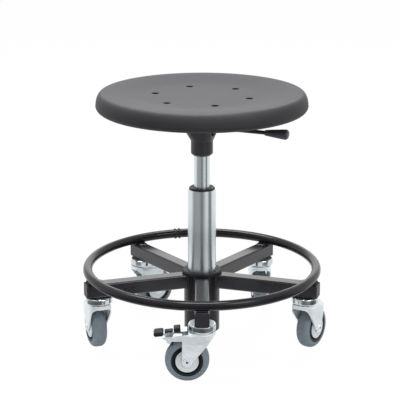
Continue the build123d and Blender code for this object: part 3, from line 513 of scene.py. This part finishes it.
def swept(path, radius, side, closed=True):
    """A round bead along a path: at each point a circle about it, square to the path's direction.

    side is roughly the direction across the path; the circle lies in side and its normal."""
    if closed:
        along = np.roll(path, -1, axis=0) - np.roll(path, 1, axis=0)
    else:
        along = np.gradient(path, axis=0)
    along /= np.linalg.norm(along, axis=1, keepdims=True)
    across = side - along * np.sum(side * along, axis=1, keepdims=True)
    across /= np.linalg.norm(across, axis=1, keepdims=True)
    up = np.cross(along, across)
    turn = np.linspace(0.0, 2.0 * pi, BEAD_SIDES, endpoint=False)[None, :, None]
    ring = np.cos(turn) * across[:, None, :] + np.sin(turn) * up[:, None, :]
    points = path[:, None, :] + radius[:, None, None] * ring
    if closed:
        points = np.concatenate([points, points[:1]])
    return points


def rippled(length, settings, count):
    """A bead's radius along it: even, with a small wave for each ripple."""
    s = np.linspace(0.0, length, count)
    return settings.weld_radius * (1.0 + BEAD_RIPPLE * np.cos(2.0 * pi * s / settings.weld_ripple))


# Seat

def vent_angles():
    """The vents' angles about the column, evenly spaced."""
    return VENT_TURN + np.arange(VENT_COUNT) * 2.0 * pi / VENT_COUNT


def vent_middle(angle, seat):
    """The middle of the vent at that angle on the circle of vents."""
    return seat.vent_circle * np.array([np.cos(angle), np.sin(angle)])


def seat_height(x, y, seat):
    """Height of the seat's top: a flat floor, a smooth rise to the crest and a shallow dip at each vent."""
    crest = seat.radius - seat.crest_inset
    rise = smooth_step((np.hypot(x, y) - seat.flat_radius) / (crest - seat.flat_radius))
    height = PAD_HIGH.z - seat.dish_depth + seat.dish_depth * rise
    for angle in vent_angles():
        vent_x, vent_y = vent_middle(angle, seat)
        away = np.hypot(x - vent_x, y - vent_y)
        height = height - VENT_DIP * np.exp(-((away - seat.vent_radius) / VENT_DIP_WIDTH) ** 2)
    return height


def top_points(flat, seat):
    """Flat points (x, y) lifted onto the seat's top."""
    height = seat_height(flat[..., 0], flat[..., 1], seat)
    return np.concatenate([flat, height[..., None]], axis=-1)


def vent_cell(angle, seat, near, far, steps, rows):
    """A sixth of the ring of vents: lines from the cell's edge straight in to the vent's rim.

    The edge runs along the near arc, out, back along the far arc and in; each of its points is joined
    to the point of the rim that lies in its direction from the vent's middle. The rows lie closer together
    towards the rim, then round the mouth, go down the wall and close over the vent's floor."""
    wide = np.linspace(-1.0, 1.0, steps + 1) * pi / VENT_COUNT
    deep = np.linspace(near, far, steps // 2 + 1)
    turn = np.concatenate([
        wide[:-1], np.full(steps // 2, wide[-1]), wide[:0:-1], np.full(steps // 2, wide[0])])
    reach = np.concatenate([np.full(steps, near), deep[:-1], np.full(steps, far), deep[:0:-1]])
    edge = np.stack([reach * np.cos(angle + turn), reach * np.sin(angle + turn)], axis=-1)
    middle = vent_middle(angle, seat)
    out = edge - middle
    out /= np.linalg.norm(out, axis=1, keepdims=True)
    share = (np.linspace(0.0, 1.0, rows) ** 0.6)[:, None, None]
    field = edge + (middle + out * (seat.vent_radius + VENT_LIP) - edge) * share
    top = top_points(field, seat)
    bend = np.linspace(0.0, pi / 2.0, 7)[1:, None, None]
    mouth = middle + out * (seat.vent_radius + VENT_LIP * (1.0 - np.sin(bend)))
    mouth_z = top[-1, :, 2] - VENT_LIP * (1.0 - np.cos(bend[..., 0]))
    wall = np.concatenate([mouth, mouth_z[..., None]], axis=-1)
    floor_z = BOARD_HIGH.z + seat.vent_floor
    shaft_z = np.concatenate([np.linspace(wall[-1, 0, 2], floor_z, 5)[1:], [floor_z, floor_z]])
    shaft_r = np.concatenate([np.full(4, seat.vent_radius), [0.5 * seat.vent_radius, 0.0]])
    shaft = np.stack([np.concatenate([middle + out * r, np.full((len(out), 1), z)], axis=-1)
                      for r, z in zip(shaft_r, shaft_z)])
    return np.concatenate([top, wall, shaft])


def seat_profile(seat, far):
    """Radius and height from the ring of vents over the crest, round the rim and under to the board.

    Two quarter ellipses meet at the waist, where a fine mould line stands out."""
    crest = seat.radius - seat.crest_inset
    under = seat.radius - seat.under_inset
    waist = PAD_LOW.z + seat.waist_height
    rise_r = np.linspace(far, crest, 36)
    upper = np.linspace(pi / 2.0, 0.0, 40)
    lower = np.linspace(0.0, -pi / 2.0, 30)
    radius = np.concatenate([
        rise_r,
        (crest + seat.crest_inset * np.cos(upper))[1:],
        (under + seat.under_inset * np.cos(lower))[1:]])
    height = np.concatenate([
        seat_height(rise_r, 0.0 * rise_r, seat),
        (waist + (PAD_HIGH.z - waist) * np.sin(upper))[1:],
        (waist + seat.waist_height * np.sin(lower))[1:]])
    line = SEAT_LINE * np.exp(-((height - waist) / SEAT_LINE_WIDTH) ** 2)
    radius = radius + line * (radius > under)
    board = BOARD_HIGH.x + BOARD_CLEAR
    radius = np.concatenate([radius, [board, board, board, far]])
    middle = (PAD_LOW.z + BOARD_HIGH.z) / 2
    height = np.concatenate([height, [PAD_LOW.z, middle, BOARD_HIGH.z, BOARD_HIGH.z]])
    return radius, height


class STOOL_OT_seat(Operator):
    """Round dished cushion with six vents, in place of the plain pad"""

    bl_idname = "stool.seat"
    bl_label = "Seat cushion"

    def execute(self, context):
        seat = context.scene.stool.seat
        near, far = VENT_RING
        steps = 48
        count = VENT_COUNT * steps
        angle = VENT_TURN - pi / VENT_COUNT + np.arange(count) * 2.0 * pi / count
        inner_r = np.linspace(0.0, near, 22)
        under_r = np.linspace(0.0, far, 12)
        flat = polar(inner_r, angle, 0.0 * inner_r)[..., :2]
        radius, height = seat_profile(seat, far)
        patches = [
            (top_points(flat, seat), True, False),
            (polar(under_r, angle, np.full(under_r.size, BOARD_HIGH.z)), True, True),
            (polar(radius, angle, height), True, False),
        ]
        patches += [(vent_cell(a, seat, near, far, steps, 14), True, False) for a in vent_angles()]
        piece = build("seat_cushion", patches, "seat", foam_skin(seat), 60.0)
        place = points_of(piece)
        middles = [vent_middle(a, seat) for a in vent_angles()]
        away = np.min([np.linalg.norm(place[:, :2] - middle, axis=1) for middle in middles], axis=0)
        inside = place[:, 2] > BOARD_HIGH.z + seat.vent_floor / 2.0
        # Painted shade inside the vents: 1 within a vent's radius, fading out over VENT_SHADE_WIDTH beyond
        # it; the underside is left out.
        write(piece, "vent", (1.0 - smooth_step((away - seat.vent_radius) / VENT_SHADE_WIDTH)) * inside)
        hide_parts("seat_pad")
        return {"FINISHED"}


# Tyres

def wheel_frame(name):
    """A wheel's middle, its axle's direction and two directions in its plane."""
    joint = next(j for j in frame["joints"] if j["name"] == f"roll_{name}")
    axle = np.array(joint["axis"], float)
    axle /= np.linalg.norm(axle)
    up = np.array([0.0, 0.0, 1.0])
    return np.array(joint["pos_m"], float), axle, np.cross(up, axle), up


def tyre_points(name, casters):
    """A rounded tread turned about the axle: flat crown, round shoulders, sides and inner face.

    The profile gives reach from the axle and place across the wheel; a fine mould line rings the crown
    and each shoulder ends in a small ledge over the side."""
    middle, axle, ahead, up = wheel_frame(name)
    low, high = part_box(f"tyre_{name}")
    outer = (high.z - low.z) / 2.0
    half = casters.tyre_width / 2.0
    bend = casters.tyre_shoulder
    inner = outer - casters.tyre_depth
    turn = np.linspace(0.0, pi / 2.0, 12)
    crown = np.linspace(-(half - bend), half - bend, 41)[1:-1]
    shoulder = outer - TYRE_RIDGE - bend
    drop = np.concatenate([
        np.linspace(shoulder - inner, TYRE_SIDE_END, 5), np.linspace(TYRE_LEDGE_LOW, TYRE_LEDGE_TOP, 6)])
    sides = shoulder - drop
    side_half = half - TYRE_LEDGE
    side_across = side_half + TYRE_LEDGE * smooth_step((TYRE_LEDGE_LOW - drop) / TYRE_LEDGE_RUN)
    across = np.concatenate([
        -side_across, -(half - bend) - bend * np.cos(turn), crown, (half - bend) + bend * np.sin(turn),
        side_across[::-1], np.linspace(side_half, -side_half, 9)])
    ridge = TYRE_RIDGE * np.exp(-(crown / TYRE_RIDGE_WIDTH) ** 2)
    reach = np.concatenate([
        sides, shoulder + bend * np.sin(turn), outer - TYRE_RIDGE + ridge, shoulder + bend * np.cos(turn),
        sides[::-1], np.full(9, inner)])
    spin = np.linspace(0.0, 2.0 * pi, 120, endpoint=False)
    ring = np.cos(spin)[:, None] * ahead + np.sin(spin)[:, None] * up
    points = middle + across[:, None, None] * axle + reach[:, None, None] * ring[None]
    return points, inner, outer


class STOOL_OT_tyres(Operator):
    """Grey tyres with a mould line, in place of the plain rings"""

    bl_idname = "stool.tyres"
    bl_label = "Tyres"

    def execute(self, context):
        casters = context.scene.stool.casters
        rubber = tyre_rubber(casters.tyre)
        for name in CASTER_NAMES:
            points, inner, outer = tyre_points(name, casters)
            patches = [(points, True, False)]
            piece = build(f"tyre_skin_{name}", patches, f"wheel_{name}", rubber, 60.0)
            middle, axle = wheel_frame(name)[:2]
            away = points_of(piece) - middle
            away -= (away @ axle)[:, None] * axle
            write(piece, "tread", (np.linalg.norm(away, axis=1) - inner) / (outer - inner))
            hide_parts(f"tyre_{name}")
        return {"FINISHED"}


# Welds

def square_loop(size, corner, count):
    """Points round a square with round corners, evenly spaced along its edge, and that edge's length."""
    flat = size / 2.0 - corner
    turn = np.linspace(0.0, pi / 2.0, count)
    parts = []
    for k, (y, z) in enumerate(((1, 1), (-1, 1), (-1, -1), (1, -1))):
        a = turn + k * pi / 2.0
        parts.append(np.stack([y * flat + corner * np.cos(a), z * flat + corner * np.sin(a)], axis=-1))
    corners = np.concatenate(parts)
    step = np.linalg.norm(np.roll(corners, -1, axis=0) - corners, axis=1)
    travel = np.concatenate([[0.0], np.cumsum(step)])
    around = np.concatenate([corners, corners[:1]])
    even = np.linspace(0.0, travel[-1], 6 * count, endpoint=False)
    loop = np.stack([np.interp(even, travel, around[:, 0]), np.interp(even, travel, around[:, 1])], axis=-1)
    return loop, travel[-1]


def turned_about_z(points, angle):
    """Points turned about the column's axis."""
    c, s = np.cos(angle), np.sin(angle)
    x, y, z = points[..., 0], points[..., 1], points[..., 2]
    return np.stack([c * x - s * y, s * x + c * y, z], axis=-1)


def hub_weld(settings):
    """A bead where an arm's square tube meets the round hub: the tube's edge laid on the hub."""
    size = ARMS_HIGH.z - ARMS_LOW.z
    hub = (HUB_HIGH.x - HUB_LOW.x) / 2.0
    loop, length = square_loop(size, ARM_CORNER, 44)
    middle = (ARMS_HIGH.z + ARMS_LOW.z) / 2.0
    path = np.stack([np.sqrt(hub ** 2 - loop[:, 0] ** 2), loop[:, 0], middle + loop[:, 1]], axis=-1)
    side = np.broadcast_to(np.array([1.0, 0.0, 0.0]), path.shape)
    return swept(path, rippled(length, settings, len(path)), side)


def ring_welds(settings):
    """Two beads where the foot ring lies on an arm: short arcs beside the ring's lowest line."""
    beads = []
    for offset in (-RING_WELD_OFFSET, RING_WELD_OFFSET):
        y = np.linspace(-RING_WELD_HALF, RING_WELD_HALF, 64)
        height = np.full(y.size, ARMS_HIGH.z + RING_WELD_RISE)
        path = np.stack([np.sqrt((RING_RADIUS + offset) ** 2 - y ** 2), y, height], axis=-1)
        taper = np.sqrt(np.clip(1.0 - (y / RING_WELD_HALF) ** 8, 0.0, 1.0))
        radius = rippled(2.0 * RING_WELD_HALF, settings, y.size) * taper
        side = np.broadcast_to(np.array([1.0, 0.0, 0.0]), path.shape)
        beads.append(swept(path, radius, side, closed=False))
    return beads


def ring_joint(settings):
    """The two beads where the bent ring was closed: low bands round the tube, close together."""
    middle = (RING_HIGH.z + RING_LOW.z) / 2.0
    turn = np.linspace(0.0, 2.0 * pi, 90, endpoint=False)
    bed = RING_TUBE - RING_JOINT_SINK
    path = np.stack([RING_RADIUS + bed * np.cos(turn), 0.0 * turn, middle + bed * np.sin(turn)], axis=-1)
    side = np.stack([np.cos(turn), 0.0 * turn, np.sin(turn)], axis=-1)
    bead = swept(path, rippled(2.0 * pi * RING_TUBE, settings, turn.size), side)
    angles = [np.arctan2(np.sqrt(RING_RADIUS ** 2 - x ** 2), x) for x in RING_JOINT_X]
    return [turned_about_z(bead, angle) for angle in angles]


class STOOL_OT_welds(Operator):
    """Weld beads at the hub, under the foot ring and on the ring's own joint"""

    bl_idname = "stool.welds"
    bl_label = "Welds"

    def execute(self, context):
        settings = context.scene.stool.base
        coat = powder_coat("weld_coat", settings.colour, rough=0.24, specular=0.3)
        hub = [(turned_about_z(hub_weld(settings), a), True, False) for a in ARM_ANGLES]
        build("hub_welds", hub, "base", coat)
        beads = ring_welds(settings)
        over = [(turned_about_z(bead, a), True, False) for a in ARM_ANGLES for bead in beads]
        build("ring_welds", over, "base", coat)
        joint = [(bead, True, False) for bead in ring_joint(settings)]
        build("ring_joint_weld", joint, "base", coat)
        return {"FINISHED"}


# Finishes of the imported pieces

def dress(material, *names):
    """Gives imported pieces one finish."""
    for name in names:
        mesh = frame["nodes"][name].data
        mesh.materials.clear()
        mesh.materials.append(material)


class STOOL_OT_base_finish(Operator):
    """Powder coat and plastic of the base"""

    bl_idname = "stool.base_finish"
    bl_label = "Base finish"

    def execute(self, context):
        base = context.scene.stool.base
        # The frame shares one powder coat: the arms' copy is painted lighter (tone 1.3) as painted light,
        # and the copy on the ring, hub, hub floor and saddles is painted darker (tone 0.8) as painted
        # shade.
        arm = powder_coat("arm_coat_painted_light", tone(base.colour, 1.3), rough=0.18, specular=0.6)
        ring = powder_coat("ring_coat_painted_shade", tone(base.colour, 0.8), rough=0.13, specular=0.25)
        collar = moulded_plastic("base_plastic", tone(base.plastic, 0.6), rough=0.36, specular=0.2)
        cap = moulded_plastic("cap_plastic", base.plastic, rough=0.36, specular=0.3)
        dress(arm, "base_arms", "caster_bolts")
        dress(ring, "hub_tube", "hub_floor", "foot_ring", "ring_saddles")
        dress(collar, "hub_collar")
        dress(cap, "arm_end_caps")
        return {"FINISHED"}


class STOOL_OT_column_finish(Operator):
    """Chrome, bush and gas spring of the column"""

    bl_idname = "stool.column_finish"
    bl_label = "Column finish"

    def execute(self, context):
        base = context.scene.stool.base
        bush = moulded_plastic("column_plastic", base.plastic, rough=0.36, specular=0.5)
        dress(chrome_plate(base.chrome), "column_tube", "gas_cylinder")
        dress(bush, "guide_bush", "cylinder_gland", "piston")
        dress(bare_steel(), "column_foot", "thrust_bearing", "piston_rod", "rod_clip", "release_button")
        dress(soft_rubber(), "rod_buffer")
        return {"FINISHED"}


class STOOL_OT_carrier_finish(Operator):
    """Housing, lever and board under the seat"""

    bl_idname = "stool.carrier_finish"
    bl_label = "Seat carrier finish"

    def execute(self, context):
        base = context.scene.stool.base
        coat = powder_coat("carrier_coat", base.colour, rough=0.36, specular=0.4)
        sleeve = moulded_plastic("carrier_plastic", base.plastic, rough=0.38, specular=0.5)
        knob = moulded_plastic("knob_plastic", tone(base.plastic, 1.6), rough=0.42, specular=0.5)
        dress(coat, "seat_housing", "seat_plate", "lever_rod", "lever_pin")
        dress(sleeve, "cylinder_sleeve")
        dress(knob, "lever_knob")
        dress(bare_steel(), "seat_screws", "tee_nuts")
        dress(stained_ply(), "seat_board")
        return {"FINISHED"}


class STOOL_OT_caster_finish(Operator):
    """Zinc and plastic of the casters and the brake"""

    bl_idname = "stool.caster_finish"
    bl_label = "Caster finish"

    def execute(self, context):
        stool = context.scene.stool
        bright = zinc_plate("bright_zinc", stool.casters.zinc, rough=0.10, metal=1.0)
        satin = zinc_plate("satin_zinc", tone(stool.casters.zinc, 1.26), rough=0.38, metal=0.5)
        disc = zinc_plate("disc_zinc", stool.casters.zinc, rough=0.40, metal=0.5)
        core = moulded_plastic("wheel_plastic", stool.casters.core, rough=0.36, specular=0.2)
        pads = moulded_plastic("pedal_plastic", tone(stool.base.plastic, 0.6), rough=0.34, specular=0.3)
        dress(bright, "swivel_heads", "king_pins", "brake_pedal")
        dress(satin, "brake_pin")
        dress(bare_steel(), "swivel_balls")
        dress(pads, "brake_pads")
        for name in CASTER_NAMES:
            dress(satin, f"fork_{name}", f"axle_{name}")
            dress(disc, f"wheel_bearing_{name}")
            dress(core, f"wheel_core_{name}")
        return {"FINISHED"}


# Studio

def area_light(name, place, target, size, power):
    """A soft rectangular lamp that looks from one point at another."""
    lamp = bpy.data.lights.new(name, "AREA")
    lamp.shape = "RECTANGLE"
    lamp.size, lamp.size_y = size
    lamp.energy = power
    holder = bpy.data.objects.new(name, lamp)
    away = np.array(place) - np.array(target)
    flat = np.hypot(away[0], away[1])
    holder.location = place
    holder.rotation_euler = (np.arctan2(flat, away[2]), 0.0, np.arctan2(away[0], -away[1]))
    holder.visible_camera = False
    bpy.context.scene.collection.objects.link(holder)


def seen_white(finish):
    """1 for rays straight from the camera or by way of gloss or glass, else 0."""
    names = ("Is Camera Ray", "Is Glossy Ray", "Is Transmission Ray")
    camera, gloss, glass = (finish.add("ShaderNodeLightPath", output=name) for name in names)
    total = camera + gloss + glass
    return total.maths("MINIMUM", total, 1.0)


def floor_paint():
    """White floor: seen white, with the object's shadow kept in part."""
    paint = Finish("floor_paint")
    grain = paint.noise(paint.place(), 3.0, 2.0)
    matt = paint.add("ShaderNodeBsdfDiffuse", inputs={
        "Color": paint.blend(grain, (0.86, 0.86, 0.86, 1.0), (0.90, 0.90, 0.90, 1.0))})
    white = paint.add("ShaderNodeEmission", inputs={"Color": WHITE, "Strength": 1.0})
    share = seen_white(paint) * (1.0 - FLOOR_SHADE)
    mixed = paint.add("ShaderNodeMixShader", inputs={0: share, 1: matt, 2: white})
    paint.add("ShaderNodeOutputMaterial", inputs={"Surface": mixed})
    return paint.material


def screen_tone(angle):
    """How light the screen is at an angle from the camera's direction, right of it being positive.

    Grey to the left, darker straight ahead, a light window on the right and white at both ends."""
    stops, tones = np.array(SCREEN_TONES).T
    return np.interp(np.degrees(angle), stops, tones)


def screen_cloth():
    """The grey screen's own tone, which is written on its points."""
    cloth = Finish("screen_cloth")
    own = cloth.add("ShaderNodeAttribute", {"attribute_name": "tone"}, output="Color")
    glow = cloth.add("ShaderNodeEmission", inputs={"Color": own, "Strength": 1.0})
    cloth.add("ShaderNodeOutputMaterial", inputs={"Surface": glow})
    return cloth.material


def screen(studio):
    """A curved grey screen on the floor before the stool, rising behind the camera's feet.

    It is turned about the column: out along the floor, darker at first, and then up. Only reflections
    show it."""
    top = (SCREEN_PROFILE[-1][0], studio.screen_height, 1.0)
    reach, rise, share = np.array([*SCREEN_PROFILE, top]).T
    angle = np.radians(np.linspace(-SCREEN_SIDE, SCREEN_SIDE, 96))
    points = polar(reach, angle - pi / 2.0, rise)
    mesh = bpy.data.meshes.new("screen")
    mesh.from_pydata(points.reshape(-1, 3).tolist(), [], grid_faces(reach.size, angle.size).tolist())
    grey = (screen_tone(angle) * share[:, None]).ravel()
    colour = np.stack([grey, grey, grey, np.ones(grey.size)], axis=-1).astype(np.float32)
    mesh.attributes.new("tone", "FLOAT_COLOR", "POINT").data.foreach_set("color", colour.ravel())
    mesh.materials.append(screen_cloth())
    piece = bpy.data.objects.new("screen", mesh)
    bpy.context.scene.collection.objects.link(piece)
    piece.visible_camera = False
    piece.visible_diffuse = False
    piece.visible_shadow = False
    piece.visible_transmission = False


class SkyFinish(Finish):
    """The world's nodes, built in the same way."""

    def __init__(self, world):
        world.use_nodes = True
        self.tree = world.node_tree
        self.tree.nodes.clear()


class STOOL_OT_studio(Operator):
    """White floor, soft lamps and the camera"""

    bl_idname = "stool.studio"
    bl_label = "Studio"

    def execute(self, context):
        scene = context.scene
        studio = scene.stool.studio
        turn = np.linspace(0.0, 2.0 * pi, FLOOR_SIDES, endpoint=False)
        disc = np.stack([np.cos(turn), np.sin(turn), 0.0 * turn], axis=-1) * studio.floor_radius
        mesh = bpy.data.meshes.new("floor")
        mesh.from_pydata(disc.tolist(), [], [list(range(FLOOR_SIDES))])
        mesh.materials.append(floor_paint())
        floor = bpy.data.objects.new("floor", mesh)
        scene.collection.objects.link(floor)
        screen(studio)
        world = scene.world or bpy.data.worlds.new("studio")
        scene.world = world
        sky = SkyFinish(world)
        seen = seen_white(sky)
        light = sky.add("ShaderNodeBackground", inputs={
            "Color": WHITE, "Strength": seen * (1.0 - studio.sky) + studio.sky})
        sky.add("ShaderNodeOutputWorld", inputs={"Surface": light})
        for lamp in LAMPS:
            area_light(*lamp)
        camera = bpy.data.cameras.new("camera")
        camera.sensor_width = 36.0
        camera.lens = studio.lens
        camera.dof.use_dof = False
        holder = bpy.data.objects.new("camera", camera)
        holder.location = (studio.camera_shift, -studio.camera_distance, studio.camera_height)
        holder.rotation_euler = (studio.camera_tilt, 0.0, 0.0)
        scene.collection.objects.link(holder)
        scene.camera = holder
        scene.view_settings.view_transform = "Standard"
        return {"FINISHED"}


class STOOL_PT_panel(Panel):
    """The stool's pieces and sizes"""

    bl_idname = "STOOL_PT_panel"
    bl_label = "Rolling stool"
    bl_space_type = "VIEW_3D"
    bl_region_type = "UI"
    bl_category = "Stool"

    def draw(self, context):
        for operator in OPERATORS:
            self.layout.operator(operator.bl_idname)
        stool = context.scene.stool
        for group in (stool.seat, stool.base, stool.casters, stool.studio):
            box = self.layout.box()
            for name in group.__annotations__:
                box.prop(group, name)


OPERATORS = (
    STOOL_OT_seat, STOOL_OT_tyres, STOOL_OT_welds, STOOL_OT_base_finish, STOOL_OT_column_finish,
    STOOL_OT_carrier_finish, STOOL_OT_caster_finish, STOOL_OT_studio)
CLASSES = (
    SeatSettings, FrameSettings, CasterSettings, StudioSettings, StoolSettings, *OPERATORS, STOOL_PT_panel)


def register():
    for cls in CLASSES:
        bpy.utils.register_class(cls)
    bpy.types.Scene.stool = PointerProperty(type=StoolSettings)


def unregister():
    del bpy.types.Scene.stool
    for cls in reversed(CLASSES):
        bpy.utils.unregister_class(cls)


def main():
    register()
    bpy.ops.stool.seat()
    bpy.ops.stool.tyres()
    bpy.ops.stool.welds()
    bpy.ops.stool.base_finish()
    bpy.ops.stool.column_finish()
    bpy.ops.stool.carrier_finish()
    bpy.ops.stool.caster_finish()
    bpy.ops.stool.studio()


if __name__ == "__main__":
    main()
